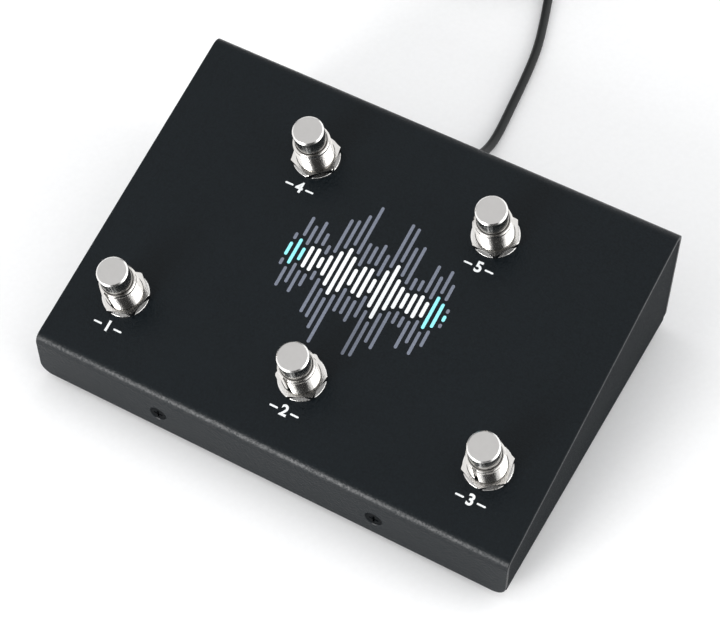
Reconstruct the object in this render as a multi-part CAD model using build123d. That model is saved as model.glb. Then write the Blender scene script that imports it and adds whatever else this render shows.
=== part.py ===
from build123d import *
import os
from math import atan, cos, degrees, pi, radians, sin, sqrt, tan

# Foot controller: a wedge-shaped box of folded sheet with five foot switches in its sloping panel.
# X runs to the right, Y to the rear, Z up. The origin is under the middle of the box, on the floor.
# All lengths are in millimetres.

# Box
width = 165.1
depth = 114.3
front_height = 18.0
rear_height = 48.4
sheet = 1.5
cover_bend = 3.5
wall_corner_radius = 4.3
edge_round = 0.25
tray_bend = 2.0
fit_gap = 0.2
side_recess = 0.1
flange_height = 13.0
relief_width = 1.6
slope = atan((rear_height - front_height) / depth)

# Rubber feet
foot_height = 3.0
foot_radius = 6.3
foot_tip_radius = 5.6
foot_inset = 14.0
foot_edge = 0.6

# Cover screws and the clinch nuts they go into
screw_spacing = 76.2
screw_height = 8.0
screw_radius = 1.5
screw_length = 7.0
screw_hole_radius = 1.7
screw_head_radius = 2.75
screw_head_edge = 0.1
screw_head_sink = 0.15
screw_sink_radius = 3.05
recess_length = 3.2
recess_width = 0.65
recess_depth = 1.1
nut_body_radius = 3.1
nut_body_length = 2.3
nut_shank_radius = 2.1
thread_gap = 0.03

# Switch places on the panel: from its side edges, its front fold and its rear fold
switch_side_inset = 19.05
front_row = 25.0
rear_row_inset = 26.3
switch_pitch = width / 2 - switch_side_inset
rear_row = depth / cos(slope) - rear_row_inset

# Switch bushing, along its own axis from the panel's outer face
thread_radius = 6.0
thread_pitch = 0.75
thread_depth = 0.42
thread_top = 11.1
lip_radius = 5.85
lip_top = 12.4
lip_edge = 0.3
guide_gap = 0.2
web_top = 1.5
web_bottom = -0.5
cavity_radius = 4.5
flange_radius = 7.25
flange_top = -4.5
flange_bottom = -6.0
keyway_width = 1.7
keyway_depth = 0.6
panel_hole_radius = 6.15

# Nuts and washers on the bushing
nut_flats = 14.0
nut_height = 2.0
nut_chamfer = 0.2
nut_gap = 0.03
washer_radius = 7.7
washer_hole_radius = 6.1
washer_height = 0.8
washer_edge = 0.15
lock_washer_height = 0.6
lock_washer_teeth = 12
lock_washer_notch = 0.9

# Button, its retaining clip and its contact bridge
button_radius = 5.0
button_top = 19.4
button_edge = 0.5
button_bottom = 5.0
spring_pocket_radius = 3.9
spring_pocket_top = 12.0
stem_radius = 2.0
stem_gap = 0.05
stem_bottom = -10.0
groove_radius = 1.5
groove_gap = 0.03
clip_radius = 3.3
clip_height = 0.6
clip_mouth = 2.4
bridge_radius = 4.0
bridge_height = 0.5
button_travel = 2.5

# Return spring
spring_wire_radius = 0.25
spring_mean_radius = 3.0
spring_turns = 6
spring_seat = 0.3

# Switch housing and terminals
housing_bottom = -16.0
housing_wall = 1.75
housing_floor = 1.5
housing_edge = 0.5
terminal_offset = 3.2
terminal_width = 2.0
terminal_thickness = 0.5
terminal_bottom = -20.5
terminal_gap = 0.05
contact_gap = 0.05

# Circuit board and what stands on it
board_width = 62.0
board_depth = 42.0
board_thickness = 1.6
board_middle = 8.0
board_hole_inset = 3.5
board_corner = 2.0
standoff_height = 5.0
standoff_flats = 5.5
standoff_shank_radius = 2.1
board_screw_head_radius = 2.7
board_screw_head_height = 1.8
board_screw_round_share = 0.47
board_screw_length = 6.0
chip_size = 10.0
chip_height = 1.4
chip_x_share = -0.12
chip_y_share = -0.02
chip_lead_reach = 1.0
chip_lead_height = 0.25
chip_lead_share = 0.8
crystal_length = 11.0
crystal_width = 4.6
crystal_height = 3.5
crystal_round_share = 0.33
crystal_x_share = 0.16
header_width = 7.0
header_depth = 5.5
header_height = 6.0
header_wall = 0.8
header_cavity = 4.5
header_inset = 4.2
header_screw_gap = 2.2
cord_header_width = 11.0

# Wires from the switches to the board
wire_radius = 0.6
wire_pin_pitch = 2.5
wire_lead_out = 4.0
wire_stagger = 2.6
wire_height_share = 0.35
lead_shares = (0.25, 0.5)
lead_slack_share = 0.08

# Strain relief in the rear wall
relief_height = 8.0
relief_neck_radius = 4.0
relief_flange_radius = 5.6
relief_flange_height = 1.6
relief_inner_length = 2.0
relief_root_radius = 3.6
relief_tip_radius = 2.3
relief_length = 14.0
relief_groove = 0.9
relief_groove_depth = 0.55
relief_grooves = 4
relief_notch_radius = 6.2

# Cord
arc_share = 0.45
cord_radius = 1.6
cord_route = [
    (0.0, 71.15, 11.0),
    (0.0, 80.0, 11.0),
    (0.3, 88.5, 4.6),
    (0.2, 98.0, 1.9),
    (-1.5, 112.0, 1.7),
    (-3.3, 127.0, 1.7),
    (-5.8, 142.5, 1.7),
    (-10.4, 157.5, 1.7),
    (-15.6, 173.0, 2.3),
    (-15.6, 188.0, 2.3),
]
coil_centre = (-41.0, 191.2)
coil_outer_radius = 25.4
coil_pitch = 3.66
coil_turns_per_layer = 3.5
coil_layers = 4
coil_base = 2.3
quarter_steps = 4

# Plug on the cord's end, lying beside the coil
plug_rest_gap = 0.15
plug_body_length = 24.0
plug_body_width = 15.7
plug_body_height = 7.9
plug_body_round = 1.8
plug_relief_length = 10.0
plug_relief_root_radius = 3.2
plug_relief_tip_radius = 2.1
shell_length = 11.75
shell_width = 12.0
shell_height = 4.5
shell_wall = 0.35
shell_window = 2.2
tongue_width = 11.0
tongue_height = 1.9
tongue_recess = 0.6

# Loose end of the coil: points from the coil's centre and the cord's direction at each
tail_route = [
    ((26.2, 14.0, 10.6), (0.04, 0.96, -0.28)),
    ((19.0, 31.5, 5.2), (-0.72, 0.68, -0.14)),
    ((2.0, 38.0, plug_body_height / 2 + plug_rest_gap), (-1.0, 0.0, 0.0)),
]

# Tie round the coil
tie_width = 8.0
tie_thickness = 0.6
tie_angle = 205.0
tie_inner_radius = 9.0
tie_outer_radius = 27.35

SWITCHES = {
    "front_left": (-switch_pitch, front_row, 17.0),
    "front_middle": (0, front_row, 23.5),
    "front_right": (switch_pitch, front_row, 37.5),
    "rear_left": (-switch_pitch / 2, rear_row, 40.6),
    "rear_right": (switch_pitch / 2, rear_row, 57.0),
}
KEYWAY_TURNS = {"front": 263.0, "rear": 83.0}
STANDING = (Align.CENTER, Align.CENTER, Align.MIN)
parts = {}


# Places and simple shapes

def panel_z(y, under=0):
    """Height of the sloping panel at y, or of a surface that lies under it by a normal distance."""
    return foot_height + front_height + (y + depth / 2) * tan(slope) - under / cos(slope)


def on_panel(x, along):
    """A place on the panel's outer face whose Z stands square to the panel."""
    origin = (x, along * cos(slope) - depth / 2, foot_height + front_height + along * sin(slope))
    return Location(Plane(origin=origin, x_dir=(1, 0, 0), z_dir=(0, -sin(slope), cos(slope))))


def at_each_switch(shape):
    """The same piece at all five switches, each turned as its nut is."""
    return [on_panel(x, along) * Rot(0, 0, turn) * shape for x, along, turn in SWITCHES.values()]


def outward(x, side, z):
    """A place on the front wall (side -1) or the rear wall (side 1) whose Z points out of the box."""
    return Location(Plane(origin=(x, side * depth / 2, z), x_dir=(1, 0, 0), z_dir=(0, side, 0)))


def post(radius, low, high):
    """A round bar along Z between two heights."""
    return Pos(0, 0, low) * Cylinder(radius, high - low, align=STANDING)


def ring(radius, hole, low, high):
    """A round bar with a bore through it."""
    return post(radius, low, high) - post(hole, low, high)


def block(x_size, y_size, low, high):
    """A block centred on Z between two heights."""
    return Pos(0, 0, low) * Box(x_size, y_size, high - low, align=STANDING)


def turned(outline):
    """A solid turned about Z from points given as radius and height."""
    points = [(radius, 0, height) for radius, height in outline]
    return revolve(make_face(Polyline(*points, close=True)), axis=Axis.Z)


def hex_prism(flats, low, high):
    """A hexagon bar with corners on X."""
    section = RegularPolygon(flats / 2, 6, major_radius=False)
    return Pos(0, 0, low) * extrude(section, high - low)


def group(solids):
    """Several solids kept as one node."""
    return Compound(children=[solid.solid() for solid in solids])


# Folded sheets

def wedge(inset, bend, low):
    """The box's side outline, inset on its front, top and rear, drawn across the full width."""
    front = inset - depth / 2
    rear = depth / 2 - inset
    corners = [
        (0, front, low),
        (0, front, panel_z(front, inset)),
        (0, rear, panel_z(rear, inset)),
        (0, rear, low),
    ]
    face = make_face(Polyline(*corners, close=True))
    face = fillet(face.vertices().sort_by(Axis.Z)[-2:], bend)
    return extrude(face, width / 2, dir=(1, 0, 0), both=True)


def cover_screw_places():
    """The outward places of the two front and two rear cover screws."""
    height = foot_height + screw_height
    return [outward(x, side, height) for side in (-1, 1) for x in (-screw_spacing / 2, screw_spacing / 2)]


def top_cover():
    """Front wall, sloping panel and rear wall in one folded sheet, with its holes."""
    outside = wedge(0, cover_bend, foot_height)
    low_edges = outside.edges().filter_by(Axis.Y).filter_by_position(Axis.Z, foot_height, foot_height)
    outside = fillet(low_edges, wall_corner_radius)
    outside = fillet(outside.edges().filter_by(Axis.Z), edge_round)
    cover = outside - wedge(sheet, cover_bend - sheet, 0)
    for hole in at_each_switch(post(panel_hole_radius, -2 * sheet, sheet)):
        cover -= hole
    for place in cover_screw_places():
        cover -= place * (post(screw_hole_radius, -2 * sheet, sheet) + screw_sink())
    neck_hole = post(relief_neck_radius + thread_gap, -2 * sheet, sheet)
    return cover - outward(0, 1, foot_height + relief_height) * neck_hole


def folded_trough(x_size, y_size, high, along):
    """A sheet folded up on two opposite sides, its bends running along X or Y."""
    outer = block(x_size, y_size, foot_height, high)
    axis = Axis.Y if along == "y" else Axis.X
    low_edges = outer.edges().filter_by(axis).group_by(Axis.Z)[0]
    outer = fillet(low_edges, tray_bend)
    wall = 2 * sheet
    inner_x = x_size - wall if along == "y" else x_size
    inner_y = y_size if along == "y" else y_size - wall
    inner = block(inner_x, inner_y, foot_height + sheet, high)
    inner_edges = inner.edges().filter_by(axis).group_by(Axis.Z)[0]
    return outer - fillet(inner_edges, tray_bend - sheet)


def base_tray():
    """Floor, side walls and the two screw flanges in one folded sheet."""
    outer_width = width - 2 * side_recess
    outer_depth = depth - 2 * (sheet + fit_gap)
    flange_width = outer_width - 2 * (tray_bend + relief_width)
    sides = folded_trough(outer_width, outer_depth, foot_height + rear_height, "y")
    sides &= wedge(sheet + fit_gap, cover_bend - sheet - fit_gap, 0)
    notch_depth = tray_bend + relief_width
    notch = block(flange_width + 2 * relief_width, notch_depth, 0, foot_height + tray_bend)
    for side in (-1, 1):
        sides -= Pos(0, side * (outer_depth - notch_depth) / 2, 0) * notch
    flanges = folded_trough(flange_width, outer_depth, foot_height + flange_height, "x")
    tray = sides + flanges
    for place in cover_screw_places():
        tray -= place * post(nut_shank_radius, -4 * sheet, 0)
    tray -= outward(0, 1, foot_height + relief_height) * post(relief_notch_radius, -4 * sheet, 0)
    for spot in board_corners():
        tray -= spot * post(standoff_shank_radius, 0, foot_height + 2 * sheet)
    return tray


# Feet, cover screws and clinch nuts

def rubber_foot():
    foot = Pos(0, 0, foot_height / 2) * Cone(foot_tip_radius, foot_radius, foot_height)
    return fillet(foot.edges().group_by(Axis.Z)[0], foot_edge)


def rubber_feet():
    x = width / 2 - foot_inset
    y = depth / 2 - foot_inset
    return group([Pos(sx * x, sy * y, 0) * rubber_foot() for sx in (-1, 1) for sy in (-1, 1)])


def cross_recess(top):
    """The cross cut into a screw's head."""
    bar = block(recess_length, recess_width, top - recess_depth, top + recess_depth)
    return bar + Rot(0, 0, 90) * bar


def screw_sink():
    """The cone that a countersunk head needs in the wall, drawn on past the wall's face."""
    return turned([
        (0, sheet),
        (screw_sink_radius + sheet, sheet),
        (screw_hole_radius, screw_hole_radius - screw_sink_radius),
        (0, screw_hole_radius - screw_sink_radius),
    ])


def cover_screw():
    """A countersunk screw whose head lies just under the wall's face."""
    edge = -screw_head_sink - screw_head_edge
    screw = turned([
        (0, -screw_head_sink),
        (screw_head_radius, -screw_head_sink),
        (screw_head_radius, edge),
        (screw_radius, edge + screw_radius - screw_head_radius),
        (screw_radius, -screw_length),
        (0, -screw_length),
    ])
    return screw - cross_recess(-screw_head_sink)


def board_screw():
    """A pan-head screw whose head seats at zero."""
    head = post(board_screw_head_radius, 0, board_screw_head_height)
    head = fillet(head.edges().group_by(Axis.Z)[-1], board_screw_head_height * board_screw_round_share)
    reach = min(board_screw_length, board_thickness + standoff_height - thread_gap)
    return head + post(screw_radius, -reach, 0) - cross_recess(board_screw_head_height)


def clinch_nut():
    """A nut body behind the flange and its shank through the flange, bored for the screw."""
    seat = -(2 * sheet + fit_gap)
    body = post(nut_body_radius, seat - nut_body_length, seat)
    shank = post(nut_shank_radius - thread_gap, seat, seat + sheet)
    return body + shank - post(screw_radius + thread_gap, seat - nut_body_length, seat + sheet)


# Switches

def bushing():
    """Threaded barrel with the button's bore above a web and the clip's cavity below it."""
    bore = button_radius + guide_gap
    outline = [
        (bore, lip_top),
        (lip_radius - lip_edge, lip_top),
        (lip_radius, lip_top - lip_edge),
        (lip_radius, thread_top + thread_radius - lip_radius),
        (thread_radius, thread_top),
    ]
    turns = int((thread_top - flange_top) / thread_pitch)
    for turn in range(turns):
        crest = thread_top - turn * thread_pitch
        outline.append((thread_radius - thread_depth, crest - thread_pitch / 2))
        outline.append((thread_radius, crest - thread_pitch))
    outline += [
        (thread_radius, flange_top),
        (flange_radius, flange_top),
        (flange_radius, flange_bottom),
        (cavity_radius, flange_bottom),
        (cavity_radius, web_bottom),
        (stem_radius + stem_gap, web_bottom),
        (stem_radius + stem_gap, web_top),
        (bore, web_top),
    ]
    body = turned([point for point, after in zip(outline, outline[1:] + outline[:1]) if point != after])
    keyway = Pos(thread_radius, 0, 0) * block(2 * keyway_depth, keyway_width, flange_top, lip_top)
    return body - keyway


def button():
    """Round cap and its stem, hollow underneath for the spring, with a groove for the clip."""
    groove_top = web_bottom - groove_gap
    groove_bottom = groove_top - clip_height - 2 * groove_gap
    outline = [
        (0, button_top),
        (button_radius - button_edge, button_top),
        (button_radius, button_top - button_edge),
        (button_radius, button_bottom),
        (spring_pocket_radius, button_bottom),
        (spring_pocket_radius, spring_pocket_top),
        (stem_radius, spring_pocket_top),
        (stem_radius, groove_top),
        (groove_radius, groove_top),
        (groove_radius, groove_bottom),
        (stem_radius, groove_bottom),
        (stem_radius, stem_bottom),
        (0, stem_bottom),
    ]
    return turned(outline)


def retaining_clip():
    """Open ring in the stem's groove that stops the button under the web."""
    top = web_bottom - 2 * groove_gap
    clip = ring(clip_radius, groove_radius + groove_gap, top - clip_height, top)
    mouth = Pos(clip_radius / 2, 0, 0) * block(clip_radius, clip_mouth, top - clip_height, top)
    return clip - mouth


def contact_bridge():
    """Round contact plate on the stem's lower end."""
    return post(bridge_radius, stem_bottom - bridge_height, stem_bottom)


def housing():
    """Cup crimped under the bushing's flange, with slots for the terminals."""
    cup = post(flange_radius, housing_bottom, flange_bottom)
    cup = fillet(cup.edges().group_by(Axis.Z)[0], housing_edge)
    cup -= post(flange_radius - housing_wall, housing_bottom + housing_floor, flange_bottom)
    slot = block(
        terminal_width + 2 * terminal_gap,
        terminal_thickness + 2 * terminal_gap,
        housing_bottom,
        housing_bottom + housing_floor,
    )
    for side in (-1, 1):
        cup -= Pos(side * terminal_offset, 0, 0) * slot
    return cup


def terminal():
    """Blade through the housing's floor, its head just under the pressed contact bridge."""
    contact_top = stem_bottom - bridge_height - button_travel - contact_gap
    return block(terminal_width, terminal_thickness, terminal_bottom, contact_top)


def panel_nut():
    """Hexagon nut with chamfered corners and a countersunk bore."""
    corner_radius = nut_flats / sqrt(3)
    blank = post(corner_radius, 0, nut_height)
    blank = chamfer(blank.edges().filter_by(GeomType.CIRCLE), nut_chamfer)
    nut = blank & hex_prism(nut_flats, 0, nut_height)
    sink = thread_radius + nut_gap
    bore = turned([
        (0, 0),
        (sink + nut_chamfer, 0),
        (sink, nut_chamfer),
        (sink, nut_height - nut_chamfer),
        (sink + nut_chamfer, nut_height),
        (0, nut_height),
    ])
    return nut - bore


def washer():
    plate = ring(washer_radius, washer_hole_radius, 0, washer_height)
    rim = plate.edges().filter_by(GeomType.CIRCLE).group_by(SortBy.RADIUS)[-1]
    return fillet(rim, washer_edge)


def lock_washer():
    """Toothed ring under the panel."""
    plate = ring(washer_radius, washer_hole_radius, 0, lock_washer_height)
    notch = Pos(washer_radius, 0, 0) * block(lock_washer_notch, lock_washer_notch, 0, lock_washer_height)
    for tooth in range(lock_washer_teeth):
        plate -= Rot(0, 0, tooth * 360 / lock_washer_teeth) * notch
    return plate


def switch_wires():
    """Two wires from each switch's terminals to its header on the board."""
    wires = []
    pin_height = board_top() + header_height * wire_height_share
    for name, (x, along, turn) in SWITCHES.items():
        front = name.startswith("front")
        rearward = 1 if front else -1
        header_x, header_y = header_places()[name]
        mouth_y = header_y - rearward * header_depth / 2
        place = on_panel(x, along)
        for side in (-1, 1):
            level = (terminal_bottom + housing_bottom) / 2
            start = place * Pos(side * terminal_offset, rearward * terminal_thickness / 2, level)
            lead = wire_lead_out + wire_stagger * (side * x > 0) * front
            out = start * Pos(0, rearward * lead, 0)
            pin = Vector(header_x + side * wire_pin_pitch / 2, mouth_y, pin_height)
            gap = wire_lead_out + wire_stagger * (side * x < 0) * front
            before = pin - Vector(0, rearward * gap, 0)
            wires.append(tube([start.position, out.position, before, pin], wire_radius))
    return group(wires)


# Routes of tubes

def corner_radii(points):
    """The largest arc that each corner's two runs allow."""
    radii = []
    for before, here, after in zip(points, points[1:], points[2:]):
        run_in = here - before
        run_out = after - here
        turn = radians(run_in.get_angle(run_out))
        radii.append(arc_share * min(run_in.length, run_out.length) / tan(turn / 2))
    return radii


def tube(points, radius, report=""):
    """A round tube of straight runs joined by tangent arcs."""
    corners = [Vector(point) for point in points]
    radii = corner_radii(corners)
    path = FilletPolyline(*corners, radius=radii)
    solid = sweep(Plane(origin=path @ 0, z_dir=path % 0) * Circle(radius), path=path)
    if report:
        volume = pi * radius ** 2 * path.length
        print(report, "length", round(path.length, 1), "radii", [round(r, 1) for r in radii])
        print(report, "volume against section times length", round(solid.volume / volume, 5))
    return solid


def biarc(start, start_way, end, end_way):
    """Two tangent arcs from one point and direction to another."""
    chord = end - start
    both = start_way + end_way
    spread = 2 * (1 - start_way.dot(end_way))
    along = chord.dot(both)
    reach = (sqrt(along ** 2 + spread * chord.dot(chord)) - along) / spread
    first = start + start_way * reach
    second = end - end_way * reach
    middle = (first + second) / 2
    return [
        TangentArc(start, middle, tangent=start_way),
        TangentArc(middle, end, tangent=(second - first).normalized()),
    ]


def wound_path(knots, lead_in=0, lead_out=0):
    """A smooth path through points with directions, with a straight run at each end."""
    edges = []
    if lead_in:
        edges.append(Line(knots[0][0] - knots[0][1] * lead_in, knots[0][0]))
    for (point, way), (next_point, next_way) in zip(knots, knots[1:]):
        edges += biarc(point, way, next_point, next_way)
    if lead_out:
        edges.append(Line(knots[-1][0], knots[-1][0] + knots[-1][1] * lead_out))
    return Wire([edge.edge() for edge in edges])


def wound_tube(path, radius):
    """A round tube along a wound path."""
    return sweep(Plane(origin=path @ 0, z_dir=path % 0) * Circle(radius), path=path)


def least_gap(path, radius, step, skip):
    """The least gap of a tube to itself, past a stretch of its own length."""
    count = int(path.length / step)
    points = [path @ (i / count) for i in range(count + 1)]
    away = int(skip / step)
    least = min(
        (points[i] - points[j]).length
        for i in range(0, len(points))
        for j in range(i + away, len(points))
        if abs(points[i].Z - points[j].Z) < 4 * radius and abs(points[i].X - points[j].X) < 4 * radius
    )
    return least - 2 * radius


# Springs, cord and coil

def return_spring():
    """Helical spring between the web and the button's hollow."""
    low = web_top + spring_wire_radius + spring_seat
    high = spring_pocket_top - spring_wire_radius - spring_seat
    steps = spring_turns * quarter_steps
    rise = (high - low) / steps
    knots = []
    for step in range(steps + 1):
        angle = step * 2 * pi / quarter_steps
        point = Vector(spring_mean_radius * cos(angle), spring_mean_radius * sin(angle), low + rise * step)
        climb = rise * quarter_steps / (2 * pi)
        way = Vector(-spring_mean_radius * sin(angle), spring_mean_radius * cos(angle), climb).normalized()
        knots.append((point, way))
    return wound_tube(wound_path(knots), spring_wire_radius)


def coil_knots():
    """Points and directions at each quarter turn of a coil that spirals in and out in layers."""
    per_layer = int(coil_turns_per_layer * quarter_steps)
    steps = per_layer * coil_layers
    quarter = 2 * pi / quarter_steps

    def radius_at(step):
        folded = step % (2 * per_layer)
        inward = min(folded, 2 * per_layer - folded)
        return coil_outer_radius - coil_pitch * inward / quarter_steps

    def height_at(step):
        climbs = 0
        for layer in range(1, coil_layers):
            climbs += min(max((step - layer * per_layer + 1) / 2, 0), 1)
        return coil_base + coil_pitch * climbs

    def spot(step):
        angle = step * quarter
        radius = radius_at(step)
        across = Vector(radius * cos(angle), radius * sin(angle), height_at(step))
        return across + Vector(*coil_centre, 0)

    knots = []
    for step in range(steps + 1):
        angle = step * quarter
        before = max(step - 1, 0)
        after = min(step + 1, steps)
        drift = (radius_at(after) - radius_at(before)) / ((after - before) * quarter)
        climb = (height_at(after) - height_at(before)) / ((after - before) * quarter)
        level = height_at(step) == height_at(before) or height_at(step) == height_at(after)
        if level:
            climb = 0
        if step in (0, steps):
            drift = 0
        radius = radius_at(step)
        way = Vector(
            drift * cos(angle) - radius * sin(angle),
            drift * sin(angle) + radius * cos(angle),
            climb,
        )
        knots.append((spot(step), way.normalized()))
    return knots


def tail_knots():
    """The coil's loose end: off the top layer, down beside the coil and into the plug."""
    centre = Vector(*coil_centre, 0)
    return [(centre + Vector(*point), Vector(*way).normalized()) for point, way in tail_route]


def plug_end():
    """Where the cord enters the plug."""
    return tail_knots()[-1][0] - Vector(2 * cord_radius, 0, 0)


def cord_coil():
    """The unseen length, wound in one unbroken tube, with its loose end."""
    path = wound_path(coil_knots() + tail_knots(), 2 * cord_radius, 2 * cord_radius)
    solid = wound_tube(path, cord_radius)
    gap = least_gap(path, cord_radius, cord_radius, 5 * cord_radius)
    print("coil length", round(path.length, 1), "least gap to itself", round(gap, 2))
    print("coil volume", round(solid.volume / (pi * cord_radius ** 2 * path.length), 5))
    return solid


def cord_tube():
    """The free stretch from the strain relief to the coil."""
    end = coil_knots()[0][0] - coil_knots()[0][1] * 2 * cord_radius
    return tube(cord_route[:-1] + [tuple(end)], cord_radius, "cord")


def strain_relief():
    """Tapered sleeve clamped in the rear wall, grooved to bend."""
    neck = relief_neck_radius
    outline = [
        (0, -sheet - relief_inner_length),
        (relief_flange_radius, -sheet - relief_inner_length),
        (relief_flange_radius, -sheet),
        (neck, -sheet),
        (neck, 0),
        (relief_flange_radius, 0),
        (relief_flange_radius, relief_flange_height),
        (relief_root_radius, relief_flange_height),
        (relief_tip_radius, relief_length),
        (0, relief_length),
    ]
    sleeve = turned(outline)
    spacing = (relief_length - relief_flange_height) / (relief_grooves + 1)
    for number in range(1, relief_grooves + 1):
        low = relief_flange_height + number * spacing - relief_groove / 2
        taper = (relief_root_radius - relief_tip_radius) / (relief_length - relief_flange_height)
        floor = relief_root_radius - taper * number * spacing - relief_groove_depth
        sleeve -= ring(relief_flange_radius, floor, low, low + relief_groove)
    return outward(0, 1, foot_height + relief_height) * sleeve


def plug_frame():
    """A place whose Z runs along the plug, out of the cord's end."""
    return Location(Plane(origin=plug_end(), x_dir=(0, 1, 0), z_dir=(-1, 0, 0)))


def plug_body():
    """Overmould with its tapered relief."""
    taper = Pos(0, 0, plug_relief_length / 2) * Cone(
        plug_relief_tip_radius, plug_relief_root_radius, plug_relief_length
    )
    low = plug_relief_length
    body = block(plug_body_width, plug_body_height, low, low + plug_body_length)
    body = fillet(body.edges(), plug_body_round)
    return plug_frame() * (taper + body)


def plug_shell():
    """Metal shell with its latch windows."""
    low = plug_relief_length + plug_body_length
    high = low + shell_length
    shell = block(shell_width, shell_height, low, high)
    shell -= block(shell_width - 2 * shell_wall, shell_height - 2 * shell_wall, low, high)
    middle = (low + high) / 2
    window = block(shell_window, 2 * shell_height, middle - shell_window / 2, middle + shell_window / 2)
    for side in (-1, 1):
        shell -= Pos(side * shell_width / 4, 0, 0) * window
    return plug_frame() * shell


def plug_insert():
    """Plastic tongue that fills the shell's lower half."""
    low = plug_relief_length + plug_body_length
    level = (shell_height - tongue_height) / 2 - shell_wall
    tongue = block(tongue_width, tongue_height, low, low + shell_length - tongue_recess)
    return plug_frame() * Pos(0, -level + thread_gap, 0) * tongue


def cord_tie():
    """Flat strap round the coil's bundle."""
    top = coil_base + coil_pitch * (coil_layers - 1) + cord_radius + 2 * fit_gap
    inner = Pos((tie_inner_radius + tie_outer_radius) / 2, 0, 0) * block(
        tie_outer_radius - tie_inner_radius, tie_width, tie_thickness, top
    )
    outer = Pos((tie_inner_radius + tie_outer_radius) / 2, 0, 0) * block(
        tie_outer_radius - tie_inner_radius + 2 * tie_thickness, tie_width, 0, top + tie_thickness
    )
    return Pos(*coil_centre, 0) * Rot(0, 0, tie_angle) * (outer - inner)


# Circuit board

def board_bottom():
    return foot_height + sheet + standoff_height


def board_top():
    return board_bottom() + board_thickness


def board_corners():
    x = board_width / 2 - board_hole_inset
    y = board_depth / 2 - board_hole_inset
    return [Pos(sx * x, board_middle + sy * y, 0) for sx in (-1, 1) for sy in (-1, 1)]


def header_places():
    """Header positions, each on the side of the board that faces its switch."""
    y = board_depth / 2 - header_inset
    screw_edge = board_width / 2 - board_hole_inset - board_screw_head_radius
    x = screw_edge - header_screw_gap - header_width / 2
    return {
        "front_left": (-x, board_middle - y),
        "front_middle": (0, board_middle - y),
        "front_right": (x, board_middle - y),
        "rear_left": (-x, board_middle + y),
        "rear_right": (x, board_middle + y),
    }


def circuit_board():
    board = Pos(0, board_middle, 0) * block(board_width, board_depth, board_bottom(), board_top())
    board = fillet(board.edges().filter_by(Axis.Z), board_corner)
    for spot in board_corners():
        board -= spot * post(screw_hole_radius, board_bottom(), board_top())
    return board


def board_standoffs():
    low = foot_height + sheet
    standoff = hex_prism(standoff_flats, low, board_bottom())
    standoff += post(standoff_shank_radius - thread_gap, foot_height, low)
    standoff -= post(screw_radius + thread_gap, low, board_bottom())
    return group([spot * standoff for spot in board_corners()])


def board_screws():
    return group([spot * Pos(0, 0, board_top()) * board_screw() for spot in board_corners()])


def controller_chip():
    """Square chip with a row of leads on each side."""
    low = board_top()
    body = block(chip_size, chip_size, low + chip_lead_height / 2, low + chip_height)
    reach = chip_size + 2 * chip_lead_reach
    leads = block(reach, chip_size * chip_lead_share, low, low + chip_lead_height)
    leads += Rot(0, 0, 90) * leads
    return Pos(board_width * chip_x_share, board_middle + board_depth * chip_y_share, 0) * (body + leads)


def crystal():
    can = block(crystal_length, crystal_width, board_top(), board_top() + crystal_height)
    can = fillet(can.edges().filter_by(Axis.Z), crystal_width * crystal_round_share)
    return Pos(board_width * crystal_x_share, board_middle, 0) * can


def header(wide):
    """A plug housing with its mouth upwards."""
    low = board_top()
    shell = block(wide, header_depth, low, low + header_height)
    mouth = block(
        wide - 2 * header_wall,
        header_depth - 2 * header_wall,
        low + header_height - header_cavity / 2,
        low + header_height,
    )
    return shell - mouth


def board_headers():
    solids = [Pos(x, y, 0) * header(header_width) for x, y in header_places().values()]
    rear_y = board_middle + board_depth / 2 - header_inset
    solids.append(Pos(0, rear_y, 0) * header(cord_header_width))
    return group(solids)


def inner_lead():
    """The cord's own end inside the box, with a little slack over the board."""
    rear = depth / 2 - sheet - relief_inner_length
    level = foot_height + relief_height
    front = board_middle + board_depth / 2 - header_inset + header_depth / 2
    pin = board_top() + header_height * wire_height_share
    run = rear - front
    points = [
        (0, rear, level),
        (0, rear - run * lead_shares[0], level),
        (0, rear - run * lead_shares[1], level + run * lead_slack_share),
        (0, front + run * lead_shares[0], pin),
        (0, front, pin),
    ]
    return tube(points, cord_radius, "inner lead")


# All pieces

parts["top_cover"] = top_cover()
parts["base_tray"] = base_tray()
parts["rubber_feet"] = rubber_feet()
parts["cover_screws"] = group([place * cover_screw() for place in cover_screw_places()])
parts["clinch_nuts"] = group([place * clinch_nut() for place in cover_screw_places()])
nut_seat = washer_height
inner_seat = -sheet - lock_washer_height
parts["panel_washers"] = group(at_each_switch(washer()))
parts["panel_nuts"] = group(at_each_switch(Pos(0, 0, nut_seat) * panel_nut()))
parts["lock_washers"] = group(at_each_switch(Pos(0, 0, inner_seat) * lock_washer()))
parts["inner_nuts"] = group(at_each_switch(Pos(0, 0, inner_seat - nut_height) * panel_nut()))
parts["switch_terminals"] = group([
    on_panel(x, along) * Pos(side * terminal_offset, 0, 0) * terminal()
    for x, along, turn in SWITCHES.values()
    for side in (-1, 1)
])
for name, (x, along, turn) in SWITCHES.items():
    place = on_panel(x, along)
    row = name.split("_")[0]
    parts["bushing_" + name] = place * Rot(0, 0, KEYWAY_TURNS[row]) * bushing()
    parts["button_" + name] = place * button()
    parts["return_spring_" + name] = place * return_spring()
    parts["retaining_clip_" + name] = place * retaining_clip()
    parts["contact_bridge_" + name] = place * contact_bridge()
    parts["housing_" + name] = place * housing()
parts["circuit_board"] = circuit_board()
parts["board_standoffs"] = board_standoffs()
parts["board_screws"] = board_screws()
parts["controller_chip"] = controller_chip()
parts["crystal"] = crystal()
parts["board_headers"] = board_headers()
parts["switch_wires"] = switch_wires()
parts["inner_lead"] = inner_lead()
parts["strain_relief"] = strain_relief()
parts["cord_tube"] = cord_tube()
parts["cord_coil"] = cord_coil()
parts["cord_tie"] = cord_tie()
parts["plug_body"] = plug_body()
parts["plug_shell"] = plug_shell()
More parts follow.
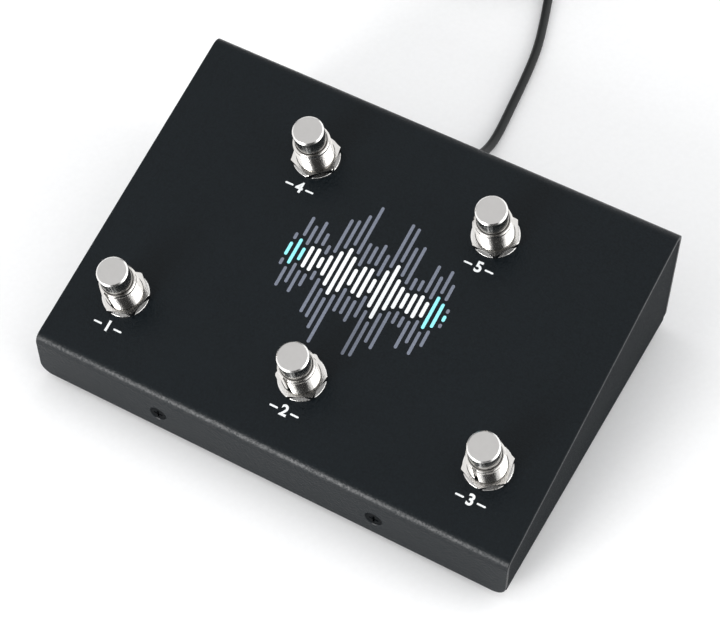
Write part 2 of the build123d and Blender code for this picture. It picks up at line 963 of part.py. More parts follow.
parts["plug_insert"] = plug_insert()

os.makedirs("parts", exist_ok=True)
for name, shape in parts.items():
    export_step(shape, "parts/" + name + ".step")
print("nodes", len(parts), "panel slope", round(degrees(slope), 2))
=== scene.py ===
from math import atan, cos, pi, sin

import bmesh
import bpy
from mathutils import Matrix, Vector


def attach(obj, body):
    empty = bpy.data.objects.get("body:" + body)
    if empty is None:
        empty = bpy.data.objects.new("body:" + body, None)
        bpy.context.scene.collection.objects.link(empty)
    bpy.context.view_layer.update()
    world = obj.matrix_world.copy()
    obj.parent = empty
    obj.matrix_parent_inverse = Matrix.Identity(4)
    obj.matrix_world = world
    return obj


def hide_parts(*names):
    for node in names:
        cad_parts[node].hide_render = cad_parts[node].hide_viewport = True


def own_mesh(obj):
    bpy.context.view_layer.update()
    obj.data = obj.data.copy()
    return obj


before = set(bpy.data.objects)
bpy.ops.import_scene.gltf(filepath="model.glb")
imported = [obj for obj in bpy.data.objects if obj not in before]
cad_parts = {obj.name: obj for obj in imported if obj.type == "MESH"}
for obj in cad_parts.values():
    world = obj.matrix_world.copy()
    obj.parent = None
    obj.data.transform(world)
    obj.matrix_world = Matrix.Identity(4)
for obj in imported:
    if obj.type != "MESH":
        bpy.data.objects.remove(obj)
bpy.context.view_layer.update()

# Sizes of the box and its switches, in metres
DEPTH = 0.1143
FRONT_HEIGHT = 0.018
REAR_HEIGHT = 0.0484
FOOT_HEIGHT = 0.003
SLOPE = atan((REAR_HEIGHT - FRONT_HEIGHT) / DEPTH)
SWITCH_PITCH = 0.0635
FRONT_ROW = 0.025
REAR_ROW = 0.09197
BUTTON_TOP = 0.0194
BUTTON_EDGE = 0.0005

SWITCHES = {
    "front_left": (-SWITCH_PITCH, FRONT_ROW),
    "front_middle": (0, FRONT_ROW),
    "front_right": (SWITCH_PITCH, FRONT_ROW),
    "rear_left": (-SWITCH_PITCH / 2, REAR_ROW),
    "rear_right": (SWITCH_PITCH / 2, REAR_ROW),
}
PANEL_NORMAL = Vector((0, -sin(SLOPE), cos(SLOPE)))
PANEL_UPHILL = Vector((0, cos(SLOPE), sin(SLOPE)))
PANEL_FRONT = Vector((0, -DEPTH / 2, FOOT_HEIGHT + FRONT_HEIGHT))


def add_object(name, data):
    made = bpy.data.objects.new(name, data)
    bpy.context.scene.collection.objects.link(made)
    return made


# Camera at the photograph's angle

CAMERA_SPOT = (0.186991, -0.328765, 0.569791)
CAMERA_RIGHT = Vector((0.872606, 0.48842, -0.002243))
CAMERA_UP = Vector((-0.401547, 0.72, 0.566003))
SENSOR_WIDTH = 36
FOCAL_LENGTH = 106.186
CLIP_START = 0.01


def place_camera():
    camera = add_object("camera", bpy.data.cameras.new("camera"))
    turn = Matrix((CAMERA_RIGHT, CAMERA_UP, CAMERA_RIGHT.cross(CAMERA_UP))).transposed().to_4x4()
    camera.matrix_world = Matrix.Translation(CAMERA_SPOT) @ turn
    camera.data.sensor_fit = "HORIZONTAL"
    camera.data.sensor_width = SENSOR_WIDTH
    camera.data.lens = FOCAL_LENGTH
    camera.data.clip_start = CLIP_START
    bpy.context.scene.camera = camera


place_camera()


# Cord, one unbroken line from the strain relief through the coil to the plug

CORD_DIAMETER = 0.0032
CORD_ROUTE = [
    (0, 0.07115, 0.011),
    (0, 0.08, 0.011),
    (0.0003, 0.0885, 0.0046),
    (0.0002, 0.098, 0.0019),
    (-0.0015, 0.112, 0.0017),
    (-0.0033, 0.127, 0.0017),
    (-0.0058, 0.1425, 0.0017),
    (-0.0104, 0.1575, 0.0017),
    (-0.0156, 0.173, 0.0023),
    (-0.0156, 0.1944, 0.0023),
]
COIL_CENTRE = Vector((-0.041, 0.1912, 0))
COIL_RADIUS = 0.0254
COIL_PITCH = 0.00366
COIL_BASE = 0.0023
TURNS_PER_LAYER = 3.5
LAYERS = 4
POINTS_PER_TURN = 12
# The spline runs inside its points, so they stand a little further out than the cord
SPLINE_SHRINK = 0.9665
POINT_RADIUS = 0.001
CURVE_STEPS = 6
COIL_TAIL = [
    (-0.0156, 0.1879, 0.01328),
    (-0.0151, 0.2002, 0.013),
    (-0.0144, 0.2155, 0.0071),
    (-0.0289, 0.2292, 0.0041),
    (-0.0422, 0.2292, 0.0041),
]


def coil_points():
    """Points round the coil, which spirals in and out in layers, counted in quarter turns."""
    quarters = 4 * TURNS_PER_LAYER
    points = []
    for number in range(1, int(POINTS_PER_TURN * TURNS_PER_LAYER * LAYERS)):
        step = number * 4 / POINTS_PER_TURN
        folded = step % (2 * quarters)
        inward = min(folded, 2 * quarters - folded)
        radius = (COIL_RADIUS - COIL_PITCH * inward / 4) / SPLINE_SHRINK
        layers = range(1, LAYERS)
        climbs = sum(min(max((step - layer * quarters + 1) / 2, 0), 1) for layer in layers)
        angle = step * pi / 2
        offset = Vector((radius * cos(angle), radius * sin(angle), COIL_BASE + COIL_PITCH * climbs))
        points.append(COIL_CENTRE + offset)
    return points


def lay_cord():
    points = CORD_ROUTE + [tuple(point) for point in coil_points()] + COIL_TAIL
    curve = bpy.data.curves.new("cord", "CURVE")
    curve.dimensions = "3D"
    # a curve's box grows by its points' own radius, so that is small and the bevel makes up for it
    curve.bevel_depth = CORD_DIAMETER / 2 / POINT_RADIUS
    curve.bevel_resolution = CURVE_STEPS
    curve.resolution_u = CURVE_STEPS
    curve.use_fill_caps = True
    spline = curve.splines.new("NURBS")
    spline.points.add(len(points) - 1)
    for spot, point in zip(spline.points, points):
        spot.co = (*point, 1)
        spot.radius = POINT_RADIUS
    spline.order_u = 3
    spline.use_endpoint_u = True
    cord = add_object("cord", curve)
    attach(cord, "case")
    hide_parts("cord_tube", "cord_coil")
    return cord


cord = lay_cord()


# Shader building

def place(tree, kind, settings=None, **sockets):
    """A shader node with its settings, and plain values or links for its input sockets."""
    made = tree.nodes.new("ShaderNode" + kind)
    for key, value in (settings or {}).items():
        setattr(made, key, value)
    for key, value in sockets.items():
        numbered = key.startswith("in") and key[2:].isdigit()
        socket = made.inputs[int(key[2:]) if numbered else key.replace("_", " ")]
        if isinstance(value, bpy.types.NodeSocket):
            tree.links.new(value, socket)
        else:
            socket.default_value = value
    return made


def value_math(tree, operation, first, second=0.0, third=0.0):
    made = place(tree, "Math", {"operation": operation}, in0=first, in1=second, in2=third)
    return made.outputs[0]


def vector_math(tree, operation, first, second=None):
    made = place(tree, "VectorMath", {"operation": operation}, in0=first)
    if second is not None:
        made.inputs[1].default_value = second
    return made


def blend_colours(tree, factor, first, second):
    mix = place(tree, "Mix", {"data_type": "RGBA"}, in0=factor, in6=first, in7=second)
    return mix.outputs[2]


def blend_values(tree, factor, low, high):
    return place(tree, "MapRange", None, Value=factor, To_Min=low, To_Max=high).outputs[0]


def effect(name, inputs, outputs):
    """An empty node group with named inputs and outputs."""
    tree = bpy.data.node_groups.new(name, "ShaderNodeTree")
    for label, kind, value in inputs:
        socket = tree.interface.new_socket(label, in_out="INPUT", socket_type=kind)
        if value is not None:
            socket.default_value = value
    for label in outputs:
        tree.interface.new_socket(label, in_out="OUTPUT", socket_type="NodeSocketFloat")
    return tree, tree.nodes.new("NodeGroupInput"), tree.nodes.new("NodeGroupOutput")


def sized_vector(tree, vector, size):
    """Coordinates in metres turned into steps of the given size in millimetres."""
    per_metre = value_math(tree, "DIVIDE", 1000.0, size)
    scaled = vector_math(tree, "SCALE", vector)
    tree.links.new(per_metre, scaled.inputs["Scale"])
    return scaled.outputs[0]


def make_pebble_grain():
    """Fine orange-peel grain of powder coat and moulded rubber."""
    tree, given, result = effect(
        "pebble_grain",
        [("Coordinates", "NodeSocketVector", None), ("Grain Size", "NodeSocketFloat", 0.5)],
        ["Height", "Speckle"],
    )
    steps = sized_vector(tree, given.outputs[0], given.outputs[1])
    cells = place(tree, "TexVoronoi", {"feature": "SMOOTH_F1"}, Vector=steps, Scale=1.0,
                  Smoothness=0.6)
    clouds = place(tree, "TexNoise", None, Vector=steps, Scale=0.7, Detail=3.0, Roughness=0.65)
    height = value_math(tree, "MULTIPLY_ADD", cells.outputs["Distance"], -0.7, clouds.outputs[0])
    tree.links.new(height, result.inputs[0])
    speckle = place(tree, "MapRange", None, Value=height, From_Min=-0.1, From_Max=0.45).outputs[0]
    tree.links.new(speckle, result.inputs[1])
    return tree


HAIRLINE_STRETCH = (1.0, 0.12, 1.0)


def make_plating_marks():
    """Faint haze, handling marks and hairlines of plated metal."""
    tree, given, result = effect(
        "plating_marks",
        [("Coordinates", "NodeSocketVector", None), ("Haze Size", "NodeSocketFloat", 3.0),
         ("Hairline Size", "NodeSocketFloat", 0.25)],
        ["Haze", "Hairlines"],
    )
    broad = sized_vector(tree, given.outputs[0], given.outputs[1])
    haze = place(tree, "TexNoise", None, Vector=broad, Scale=1.0, Detail=4.0,
                 Roughness=0.6).outputs[0]
    tree.links.new(haze, result.inputs[0])
    fine = sized_vector(tree, given.outputs[0], given.outputs[2])
    drawn = vector_math(tree, "MULTIPLY", fine, HAIRLINE_STRETCH).outputs[0]
    lines = place(tree, "TexNoise", None, Vector=drawn, Scale=1.0, Detail=2.0,
                  Roughness=0.5).outputs[0]
    tree.links.new(lines, result.inputs[1])
    return tree


def make_handling_dust():
    """Sparse patches where dust or handling dulls a surface."""
    tree, given, result = effect(
        "handling_dust",
        [("Coordinates", "NodeSocketVector", None), ("Patch Size", "NodeSocketFloat", 20.0),
         ("Amount", "NodeSocketFloat", 0.3)],
        ["Mask"],
    )
    steps = sized_vector(tree, given.outputs[0], given.outputs[1])
    patches = place(tree, "TexNoise", None, Vector=steps, Scale=1.0, Detail=6.0,
                    Roughness=0.7).outputs[0]
    shown = place(tree, "MapRange", None, Value=patches, From_Min=0.42, From_Max=0.7).outputs[0]
    tree.links.new(value_math(tree, "MULTIPLY", shown, given.outputs[2]), result.inputs[0])
    return tree


THREADS_PER_STEP = 0.31


def make_strap_weave():
    """Crossing threads of a woven strap."""
    tree, given, result = effect(
        "strap_weave",
        [("Coordinates", "NodeSocketVector", None), ("Thread Size", "NodeSocketFloat", 0.5)],
        ["Height"],
    )
    steps = sized_vector(tree, given.outputs[0], given.outputs[1])
    along, across = (
        place(tree, "TexWave", {"bands_direction": way}, Vector=steps, Scale=THREADS_PER_STEP,
              Distortion=0.4, Detail=1.0).outputs[1]
        for way in ("X", "Y"))
    tree.links.new(value_math(tree, "MAXIMUM", along, across), result.inputs[0])
    return tree


PEBBLE_GRAIN = make_pebble_grain()
PLATING_MARKS = make_plating_marks()
HANDLING_DUST = make_handling_dust()
STRAP_WEAVE = make_strap_weave()


def use_effect(tree, group, vector, **values):
    """An effect placed in a material with its own values; its sizes are in millimetres."""
    used = tree.nodes.new("ShaderNodeGroup")
    used.node_tree = group
    tree.links.new(vector, used.inputs[0])
    for key, value in values.items():
        used.inputs[key.replace("_", " ")].default_value = value
    return used


def new_finish(name, metallic=0.0, specular=0.5):
    """An empty material: its tree, its surface shader and the piece's own coordinates in metres."""
    material = bpy.data.materials.new(name)
    material.use_nodes = True
    tree = material.node_tree
    surface = tree.nodes["Principled BSDF"]
    surface.inputs["Metallic"].default_value = metallic
    surface.inputs["Specular IOR Level"].default_value = specular
    spot = place(tree, "TexCoord").outputs["Object"]
    return material, tree, surface, spot


def raise_grain(tree, surface, height, depth):
    """Feeds a height to the surface's normal; the depth is in metres."""
    bump = place(tree, "Bump", None, Strength=1.0, Distance=depth, Height=height)
    tree.links.new(bump.outputs[0], surface.inputs["Normal"])


def grey(value, warm=0.0):
    return (value * (1 + warm), value, value * (1 - warm), 1)


def facing_panel(tree):
    """How far a surface faces as the panel does: 1 on the panel, about 0.3 on the front wall."""
    normal = place(tree, "NewGeometry").outputs["Normal"]
    return vector_math(tree, "DOT_PRODUCT", normal, PANEL_NORMAL).outputs["Value"]


# Finishes

COAT_DARK = (0.0023, 0.0042, 0.0057, 1)
COAT_LIGHT = (0.0048, 0.0078, 0.0101, 1)
COAT_GRAIN_DEPTH = 0.00012
DUST_ROUGHENS = 0.1
BEND_GLEAM = (0.5, 0.12)
BEND_ROUGHNESS = 0.32
# Values of facing_panel between which a bend's gleam comes up from the wall, and fades to the panel
WALL_END = (0.3, 0.5)
PANEL_END = (0.9, 0.995)


def powder_coat(name, shine, smooth, rough):
    """Black fine-texture powder coat, glossier where it stretches over the bends."""
    material, tree, surface, spot = new_finish(name, specular=shine)
    grain = use_effect(tree, PEBBLE_GRAIN, spot, Grain_Size=0.6)
    dust = use_effect(tree, HANDLING_DUST, spot, Patch_Size=26.0, Amount=0.35)
    speckle, dusty = grain.outputs["Speckle"], dust.outputs["Mask"]
    tone = blend_colours(tree, speckle, COAT_DARK, COAT_LIGHT)
    tone = blend_colours(tree, dusty, tone, COAT_LIGHT)
    tree.links.new(tone, surface.inputs["Base Color"])
    gloss = blend_values(tree, speckle, smooth, rough)
    gloss = value_math(tree, "MULTIPLY_ADD", dusty, DUST_ROUGHENS, gloss)
    tree.links.new(gloss, surface.inputs["Roughness"])
    facing = facing_panel(tree)
    over_wall = place(tree, "MapRange", None, Value=facing,
                      From_Min=WALL_END[0], From_Max=WALL_END[1]).outputs[0]
    below_panel = place(tree, "MapRange", None, Value=facing, From_Min=PANEL_END[0],
                        From_Max=PANEL_END[1], To_Min=1.0, To_Max=0.0).outputs[0]
    gleam = blend_values(tree, speckle, *BEND_GLEAM)
    bend = value_math(tree, "MULTIPLY", over_wall, below_panel)
    tree.links.new(value_math(tree, "MULTIPLY", bend, gleam), surface.inputs["Coat Weight"])
    surface.inputs["Coat Roughness"].default_value = BEND_ROUGHNESS
    raise_grain(tree, surface, grain.outputs["Height"], COAT_GRAIN_DEPTH)
    return material


PLATING_WAVE_DEPTH = 0.000024
PLATING_SHADE = 0.86
HAIRLINE_SHARE = 0.2
# Facing_panel is below this on a nut's flats
FLATS_BELOW = 0.4
# Painted shade: dark tones for a nut's upright flats, standing in for the shade and the dark panel
# they mirror
FLAT_PAINTED_SHADE_TONES = (grey(0.1), grey(0.3))


def plated_metal(name, colour, smooth, rough, painted_shade_flats=False):
    """Plated metal with haze, a faint waviness and hairlines, and painted shade on a nut's flats.
    """
    material, tree, surface, spot = new_finish(name, metallic=1.0)
    marks = use_effect(tree, PLATING_MARKS, spot, Haze_Size=2.5, Hairline_Size=0.2)
    waves = use_effect(tree, PEBBLE_GRAIN, spot, Grain_Size=0.38)
    haze, hairlines = marks.outputs["Haze"], marks.outputs["Hairlines"]
    deep = tuple(channel * PLATING_SHADE for channel in colour[:3]) + (1,)
    tone = blend_colours(tree, haze, deep, colour)
    if painted_shade_flats:
        # Painted shade on a nut's upright flats, streaked by the hairlines
        upright = value_math(tree, "LESS_THAN", facing_panel(tree), FLATS_BELOW)
        painted_flat_shade = blend_colours(tree, hairlines, *FLAT_PAINTED_SHADE_TONES)
        tone = blend_colours(tree, upright, tone, painted_flat_shade)
    tree.links.new(tone, surface.inputs["Base Color"])
    tree.links.new(blend_values(tree, haze, smooth, rough), surface.inputs["Roughness"])
    height = value_math(tree, "MULTIPLY_ADD", hairlines, HAIRLINE_SHARE, waves.outputs["Height"])
    raise_grain(tree, surface, height, PLATING_WAVE_DEPTH)
    return material


BUTTON_SIDE = ((0.6, 0.59, 0.57, 1), (0.7, 0.685, 0.665, 1))
# Painted highlight: the rim's tone is paler than the polished metal of the sides
BUTTON_RIM_PAINTED_HIGHLIGHT = (0.86, 0.85, 0.83, 1)
BUTTON_FACE = ((0.52, 0.508, 0.495, 1), (0.575, 0.563, 0.55, 1))
BUTTON_SIDE_GLOSS = (0.16, 0.26)
BUTTON_FACE_GLOSS = (0.32, 0.42)
BUTTON_GRAIN_DEPTH = 0.000006
BUTTON_HAIRLINE_SHARE = 0.15
FACE_TOLERANCE = 0.00006


def button_metal():
    """Polished sides, a chamfer rim with a painted highlight, and satin flat top."""
    material, tree, surface, spot = new_finish("button_metal", metallic=1.0)
    marks = use_effect(tree, PLATING_MARKS, spot, Haze_Size=2.2, Hairline_Size=0.16)
    grain = use_effect(tree, PEBBLE_GRAIN, spot, Grain_Size=0.12)
    haze = marks.outputs["Haze"]
    level = vector_math(tree, "DOT_PRODUCT", spot, PANEL_NORMAL).outputs["Value"]
    face_level = PANEL_FRONT.dot(PANEL_NORMAL) + BUTTON_TOP
    satin = value_math(tree, "GREATER_THAN", level, face_level - FACE_TOLERANCE)
    rim = value_math(tree, "GREATER_THAN", level, face_level - BUTTON_EDGE)
    # The chamfer below the top gets the painted highlight's paler tone
    side = blend_colours(tree, rim, blend_colours(tree, haze, *BUTTON_SIDE), BUTTON_RIM_PAINTED_HIGHLIGHT)
    face = blend_colours(tree, haze, *BUTTON_FACE)
    tree.links.new(blend_colours(tree, satin, side, face), surface.inputs["Base Color"])
    side_gloss = blend_values(tree, haze, *BUTTON_SIDE_GLOSS)
    face_gloss = blend_values(tree, haze, *BUTTON_FACE_GLOSS)
    tree.links.new(blend_values(tree, satin, side_gloss, face_gloss), surface.inputs["Roughness"])
    height = value_math(tree, "MULTIPLY", grain.outputs["Height"], satin)
    hairlines = marks.outputs["Hairlines"]
    height = value_math(tree, "MULTIPLY_ADD", hairlines, BUTTON_HAIRLINE_SHARE, height)
    raise_grain(tree, surface, height, BUTTON_GRAIN_DEPTH)
    return material


DUST_LIGHTENS = 1.8
DUST_FLOOR = 0.01


def moulded(name, dark, light, grain_size, depth, smooth, rough, dust_amount=0.2, shine=0.5):
    """Moulded plastic or rubber with a fine grain and a little dust."""
    material, tree, surface, spot = new_finish(name, specular=shine)
    grain = use_effect(tree, PEBBLE_GRAIN, spot, Grain_Size=grain_size)
    dust = use_effect(tree, HANDLING_DUST, spot, Patch_Size=9.0, Amount=dust_amount)
    speckle = grain.outputs["Speckle"]
    tone = blend_colours(tree, speckle, dark, light)
    dusty = tuple(min(channel * DUST_LIGHTENS + DUST_FLOOR, 1) for channel in light[:3]) + (1,)
    tone = blend_colours(tree, dust.outputs["Mask"], tone, dusty)
    tree.links.new(tone, surface.inputs["Base Color"])
    tree.links.new(blend_values(tree, speckle, smooth, rough), surface.inputs["Roughness"])
    raise_grain(tree, surface, grain.outputs["Height"], depth)
    return material


STRAP_TONES = (grey(0.008), grey(0.03))
STRAP_ROUGHNESS = 0.85
STRAP_SHEEN = 0.25
STRAP_FUZZ_SHARE = 0.2
STRAP_DEPTH = 0.00012


def woven_strap():
    material, tree, surface, spot = new_finish("woven_strap", specular=0.3)
    weave = use_effect(tree, STRAP_WEAVE, spot, Thread_Size=0.6).outputs["Height"]
    fuzz = use_effect(tree, PEBBLE_GRAIN, spot, Grain_Size=0.2).outputs["Height"]
    tree.links.new(blend_colours(tree, weave, *STRAP_TONES), surface.inputs["Base Color"])
    surface.inputs["Roughness"].default_value = STRAP_ROUGHNESS
    surface.inputs["Sheen Weight"].default_value = STRAP_SHEEN
    height = value_math(tree, "MULTIPLY_ADD", fuzz, STRAP_FUZZ_SHARE, weave)
    raise_grain(tree, surface, height, STRAP_DEPTH)
    return material


INK_GLOSS = (0.4, 0.55)
INK_GRAIN_DEPTH = 0.00001


def printed_ink(name, colour, worn):
    """Screen print on the powder coat, whose grain shows through."""
    material, tree, surface, spot = new_finish(name)
    grain = use_effect(tree, PEBBLE_GRAIN, spot, Grain_Size=0.42)
    speckle = grain.outputs["Speckle"]
    tree.links.new(blend_colours(tree, speckle, colour, worn), surface.inputs["Base Color"])
    tree.links.new(blend_values(tree, speckle, *INK_GLOSS), surface.inputs["Roughness"])
    raise_grain(tree, surface, grain.outputs["Height"], INK_GRAIN_DEPTH)
    return material


FLOOR_TONES = (grey(0.95), grey(0.97))
FLOOR_ROUGHNESS = 0.6


def pale_floor():
    material, tree, surface, spot = new_finish("pale_floor", specular=0.2)
    speckle = use_effect(tree, PEBBLE_GRAIN, spot, Grain_Size=1.5).outputs["Speckle"]
    tree.links.new(blend_colours(tree, speckle, *FLOOR_TONES), surface.inputs["Base Color"])
    surface.inputs["Roughness"].default_value = FLOOR_ROUGHNESS
    return material


NICKEL = plated_metal("nickel_plate", (0.74, 0.72, 0.69, 1), smooth=0.12, rough=0.19)
NUT_NICKEL = plated_metal("nut_nickel", (0.83, 0.81, 0.78, 1), smooth=0.12, rough=0.19,
                          painted_shade_flats=True)
WASHER_NICKEL = plated_metal("washer_nickel", (0.92, 0.905, 0.88, 1), smooth=0.12, rough=0.19)
ZINC = plated_metal("zinc_plate", (0.6, 0.61, 0.62, 1), smooth=0.28, rough=0.42)
SPRING = plated_metal("spring_steel", (0.5, 0.49, 0.48, 1), smooth=0.25, rough=0.4)
BRASS = plated_metal("terminal_brass", (0.78, 0.6, 0.3, 1), smooth=0.2, rough=0.34)
BLACK_STEEL = moulded("black_oxide_steel", grey(0.0015, -0.4), grey(0.004, -0.3), grain_size=0.6,
                      depth=0.00005, smooth=0.5, rough=0.65, dust_amount=0.05, shine=0.06)
BUTTON = button_metal()
COVER_COAT = powder_coat("cover_powder_coat", shine=0.16, smooth=0.28, rough=0.44)
TRAY_COAT = powder_coat("tray_powder_coat", shine=0.12, smooth=0.64, rough=0.82)
FOOT_RUBBER = moulded("foot_rubber", grey(0.014), grey(0.03), grain_size=0.5, depth=0.00004,
                      smooth=0.6, rough=0.75, dust_amount=0.5)
RELIEF_RUBBER = moulded("relief_rubber", grey(0.012), grey(0.022), grain_size=0.3, depth=0.00002,
                        smooth=0.45, rough=0.6)
CORD_JACKET = moulded("cord_jacket", (0.005, 0.006, 0.006, 1), (0.01, 0.0115, 0.0115, 1),
                      grain_size=0.25, depth=0.00001, smooth=0.4, rough=0.52, dust_amount=0.15,
                      shine=0.3)
PLUG_PLASTIC = moulded("plug_plastic", grey(0.012), grey(0.024), grain_size=0.3, depth=0.00002,
                       smooth=0.4, rough=0.55)
HOUSING_PLASTIC = moulded("housing_plastic", grey(0.015), grey(0.03), grain_size=0.4, depth=0.00001,
                          smooth=0.35, rough=0.5)
CHIP_EPOXY = moulded("chip_epoxy", grey(0.018), grey(0.035), grain_size=0.2, depth=0.00001,
                     smooth=0.5, rough=0.6)
HEADER_NYLON = moulded("header_nylon", (0.68, 0.66, 0.6, 1), (0.78, 0.76, 0.7, 1), grain_size=0.4,
                       depth=0.00001, smooth=0.4, rough=0.5, dust_amount=0.1)
WIRE_JACKET = moulded("wire_jacket", (0.36, 0.03, 0.025, 1), (0.46, 0.05, 0.04, 1), grain_size=0.3,
                      depth=0.00001, smooth=0.35, rough=0.45, dust_amount=0.1)
BOARD_MASK = moulded("board_mask", (0.012, 0.1, 0.045, 1), (0.02, 0.15, 0.07, 1), grain_size=0.8,
                     depth=0.00001, smooth=0.25, rough=0.35, dust_amount=0.2)
STRAP = woven_strap()
INK_WHITE = printed_ink("ink_white", (0.86, 0.88, 0.89, 1), (0.74, 0.76, 0.77, 1))
INK_SLATE = printed_ink("ink_slate", (0.17, 0.19, 0.24, 1), (0.13, 0.145, 0.19, 1))
INK_CYAN = printed_ink("ink_cyan", (0.3, 0.86, 0.92, 1), (0.24, 0.72, 0.79, 1))

NODE_FINISHES = {
    "top_cover": COVER_COAT,
    "base_tray": TRAY_COAT,
    "rubber_feet": FOOT_RUBBER,
    "cover_screws": BLACK_STEEL,
    "clinch_nuts": ZINC,
    "panel_washers": WASHER_NICKEL,
    "panel_nuts": NUT_NICKEL,
    "lock_washers": ZINC,
    "inner_nuts": NICKEL,
    "switch_terminals": BRASS,
    "circuit_board": BOARD_MASK,
    "board_standoffs": ZINC,
    "board_screws": ZINC,
    "controller_chip": CHIP_EPOXY,
    "crystal": ZINC,
    "board_headers": HEADER_NYLON,
    "switch_wires": WIRE_JACKET,
    "inner_lead": CORD_JACKET,
    "strain_relief": RELIEF_RUBBER,
    "cord_tie": STRAP,
    "plug_body": PLUG_PLASTIC,
    "plug_shell": NICKEL,
    "plug_insert": HEADER_NYLON,
}
SWITCH_FINISHES = {
    "bushing": NICKEL,
    "button": BUTTON,
    "return_spring": SPRING,
    "retaining_clip": SPRING,
    "contact_bridge": BRASS,
    "housing": HOUSING_PLASTIC,
}


def dress(piece, material):
    piece.data.materials.clear()
    piece.data.materials.append(material)


def dress_nodes():
    for name, material in NODE_FINISHES.items():
        dress(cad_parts[name], material)
    for kind, material in SWITCH_FINISHES.items():
        for switch in SWITCHES:
            dress(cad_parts[kind + "_" + switch], material)
    dress(cord, CORD_JACKET)


dress_nodes()


# Print on the panel

def panel_place(x, along, lift):
    """A matrix whose X and Y run along the panel and whose Z stands square to it."""
    origin = PANEL_FRONT + Vector((x, 0, 0)) + PANEL_UPHILL * along + PANEL_NORMAL * lift
    turn = Matrix(((1, 0, 0), PANEL_UPHILL, PANEL_NORMAL)).transposed().to_4x4()
    return Matrix.Translation(origin) @ turn


# The print lies just clear of the panel
PRINT_LIFT = 0.000002
INK_THICKNESS = 0.00002
NUMBER_HEIGHT = 0.0036
# A capital's height as a share of the font's size, and how far its strokes are thickened
CAPITAL_SHARE = 0.72
STROKE_SHARE = 0.045
NUMBER_DROP = 0.0116
DASH_PLACE = 0.0036
DASH_LENGTH = 0.0029
DASH_WIDTH = 0.0006
PILL_CORNERS = 24


def join_print(name, meshes, material):
    """One printed piece made of several small meshes."""
    whole = bmesh.new()
    for mesh in meshes:
        whole.from_mesh(mesh)
        bpy.data.meshes.remove(mesh)
    data = bpy.data.meshes.new(name)
    whole.to_mesh(data)
    whole.free()
    piece = add_object(name, data)
    dress(piece, material)
    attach(piece, "case")


def number_mesh(digit, matrix):
    """A bold digit standing centred on its place."""
    text = bpy.data.curves.new("digit", "FONT")
    text.body = digit
    text.size = NUMBER_HEIGHT / CAPITAL_SHARE
    text.offset = NUMBER_HEIGHT * STROKE_SHARE
    text.extrude = INK_THICKNESS / 2
    text.align_x = "CENTER"
    text.align_y = "CENTER"
    holder = add_object("digit", text)
    bpy.context.view_layer.update()
    solid = holder.evaluated_get(bpy.context.evaluated_depsgraph_get())
    mesh = bpy.data.meshes.new_from_object(solid)
    bpy.data.objects.remove(holder)
    bpy.data.curves.remove(text)
    mesh.transform(matrix)
    return mesh


def pill_mesh(x, y, width, height, matrix):
    """A bar with round ends, printed at a place on the panel."""
    drawn = bmesh.new()
    radius = min(width, height) / 2
    corners = []
    for turn in range(PILL_CORNERS):
        angle = (turn + 0.5) * 2 * pi / PILL_CORNERS
        middle_x = x + (width / 2 - radius) * (1 if cos(angle) > 0 else -1)
        middle_y = y + (height / 2 - radius) * (1 if sin(angle) > 0 else -1)
        corner = (middle_x + radius * cos(angle), middle_y + radius * sin(angle), 0)
        corners.append(drawn.verts.new(corner))
    face = drawn.faces.new(corners)
    raised = bmesh.ops.extrude_face_region(drawn, geom=[face])
    for vert in raised["geom"]:
        if isinstance(vert, bmesh.types.BMVert):
            vert.co.z += INK_THICKNESS
    bmesh.ops.recalc_face_normals(drawn, faces=drawn.faces)
    mesh = bpy.data.meshes.new("bar")
    drawn.to_mesh(mesh)
    drawn.free()
    mesh.transform(matrix)
    return mesh


def print_numbers():
    """A number between two dashes under each switch."""
    meshes = []
    for number, (x, along) in enumerate(SWITCHES.values(), 1):
        middle = panel_place(x, along - NUMBER_DROP, INK_THICKNESS / 2 + PRINT_LIFT)
        meshes.append(number_mesh(str(number), middle))
        for side in (-1, 1):
            beside = panel_place(x + side * DASH_PLACE, along - NUMBER_DROP, PRINT_LIFT)
            meshes.append(pill_mesh(0, 0, DASH_LENGTH, DASH_WIDTH, beside))
    join_print("print_numbers", meshes, INK_WHITE)


# A swell of level bars in the middle of the panel: each has a core, and a slate bar beyond each end
SWELL_PLACE = (0.0026, 0.0608)
SWELL_BARS = 25
SWELL_STEP = 0.00228
SWELL_REACH = 0.028
CORE_SHARE = 0.42
CORE_GAP = 0.0011
CYAN_BARS = 3
BAR_WIDTH = 0.00105
WHITE_WIDTH = BAR_WIDTH * 1.15


def swell(number):
    """Half height of a bar as a share of the whole swell: two waves in a half circle."""
    across = (number - (SWELL_BARS - 1) / 2) / (SWELL_BARS / 2)
    envelope = (1 - across * across) ** 0.5
    return envelope * (0.62 + 0.23 * sin(0.9 * number + 0.6) + 0.15 * sin(2.3 * number))


def print_swell():
    here = panel_place(*SWELL_PLACE, PRINT_LIFT)
    slate, white, cyan = [], [], []
    for number in range(SWELL_BARS):
        x = (number - (SWELL_BARS - 1) / 2) * SWELL_STEP
        outer = SWELL_REACH * swell(number)
        inner = CORE_SHARE * outer * (0.75 + 0.25 * sin(1.7 * number + 1.0))
        length = outer - inner - CORE_GAP
        if length > BAR_WIDTH:
            middle = (outer + inner + CORE_GAP) / 2
            for side in (-1, 1):
                slate.append(pill_mesh(x, side * middle, BAR_WIDTH, length, here))
        core = 2 * max(inner, BAR_WIDTH)
        if CYAN_BARS <= number < SWELL_BARS - CYAN_BARS:
            white.append(pill_mesh(x, 0, WHITE_WIDTH, core, here))
        else:
            cyan.append(pill_mesh(x, 0, BAR_WIDTH, core, here))
    join_print("print_swell_slate", slate, INK_SLATE)
    join_print("print_swell_white", white, INK_WHITE)
    join_print("print_swell_cyan", cyan, INK_CYAN)


print_numbers()
print_swell()


# Return springs, copied from their CAD meshes and carried by the case


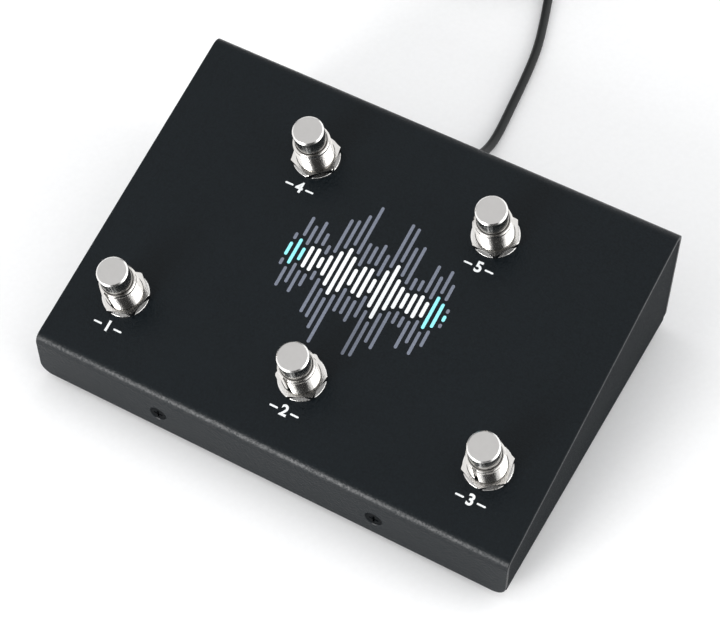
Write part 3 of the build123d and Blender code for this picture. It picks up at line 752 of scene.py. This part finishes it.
def fit_springs():
    for switch, (x, along) in SWITCHES.items():
        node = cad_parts["return_spring_" + switch]
        spring = add_object("spring_" + switch, node.data.copy())
        dress(spring, SPRING)
        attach(spring, "case")
        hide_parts("return_spring_" + switch)
        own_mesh(spring)


fit_springs()


# Floor and light

FLOOR_CORNERS = ((-4, -4), (4, -4), (4, 4), (-4, 4))

ROOM_COLOUR = (0.985, 0.99, 1, 1)
CEILING_LIGHT = 1.02
HORIZON_LIGHT = 1.35
# Height of a direction at which the horizon's light has become the ceiling's
HORIZON_BAND = 0.5
# The dim sides' directions, and the share of the light left there. Heights count for half, so that
# the dim sides stand upright.
DIM_SIDES = [
    (Vector((0.53, -0.848, 0.35)).normalized(), 0.03),
    (Vector((-0.574, 0.819, 0.1)).normalized(), 0.3),
]
DIM_STRETCH = (1, 1, 0.5)
DIM_EDGE = (0.84, 0.92)

# Soft boxes: name, place, size and power
LAMP_TARGET = Vector((0, 0, 0.02))
LAMPS = [
    ("soft_front", (-0.34, -1.17, 0.45), (0.5, 0.7), 12),
    ("soft_right", (1.25, 0.2, 0.6), (1.2, 0.8), 5),
    ("soft_back", (0.2, 1.3, 1.2), (2.0, 2.0), 4),
]


def lay_floor():
    drawn = bmesh.new()
    drawn.faces.new([drawn.verts.new((x, y, 0)) for x, y in FLOOR_CORNERS])
    data = bpy.data.meshes.new("floor")
    drawn.to_mesh(data)
    drawn.free()
    floor = add_object("floor", data)
    dress(floor, pale_floor())


def hang_lamps():
    for name, spot, size, power in LAMPS:
        lamp = bpy.data.lights.new(name, "AREA")
        lamp.shape = "RECTANGLE"
        lamp.size, lamp.size_y = size
        lamp.energy = power
        holder = add_object(name, lamp)
        holder.location = spot
        towards = LAMP_TARGET - Vector(spot)
        holder.rotation_euler = towards.to_track_quat("-Z", "Y").to_euler()


def fill_room():
    """White room light, brightest low down, whose two dim sides show as streaks in bright metal."""
    world = bpy.data.worlds.new("studio")
    bpy.context.scene.world = world
    world.use_nodes = True
    tree = world.node_tree
    backdrop = tree.nodes["Background"]
    backdrop.inputs["Color"].default_value = ROOM_COLOUR
    towards = place(tree, "TexCoord").outputs["Generated"]
    squat = vector_math(tree, "MULTIPLY", towards, DIM_STRETCH).outputs[0]
    around = vector_math(tree, "NORMALIZE", squat).outputs[0]
    smooth = {"interpolation_type": "SMOOTHSTEP"}
    height = place(tree, "SeparateXYZ", None, Vector=towards).outputs["Z"]
    level = place(tree, "MapRange", smooth, Value=height, From_Min=0.0, From_Max=HORIZON_BAND,
                  To_Min=HORIZON_LIGHT, To_Max=CEILING_LIGHT).outputs[0]
    for side, share in DIM_SIDES:
        facing = vector_math(tree, "DOT_PRODUCT", around, side).outputs["Value"]
        lit = place(tree, "MapRange", smooth, Value=facing, From_Min=DIM_EDGE[0],
                    From_Max=DIM_EDGE[1], To_Min=1.0, To_Max=share).outputs[0]
        level = value_math(tree, "MULTIPLY", level, lit)
    tree.links.new(level, backdrop.inputs["Strength"])


lay_floor()
fill_room()
hang_lamps()
bpy.context.scene.view_settings.view_transform = "Standard"
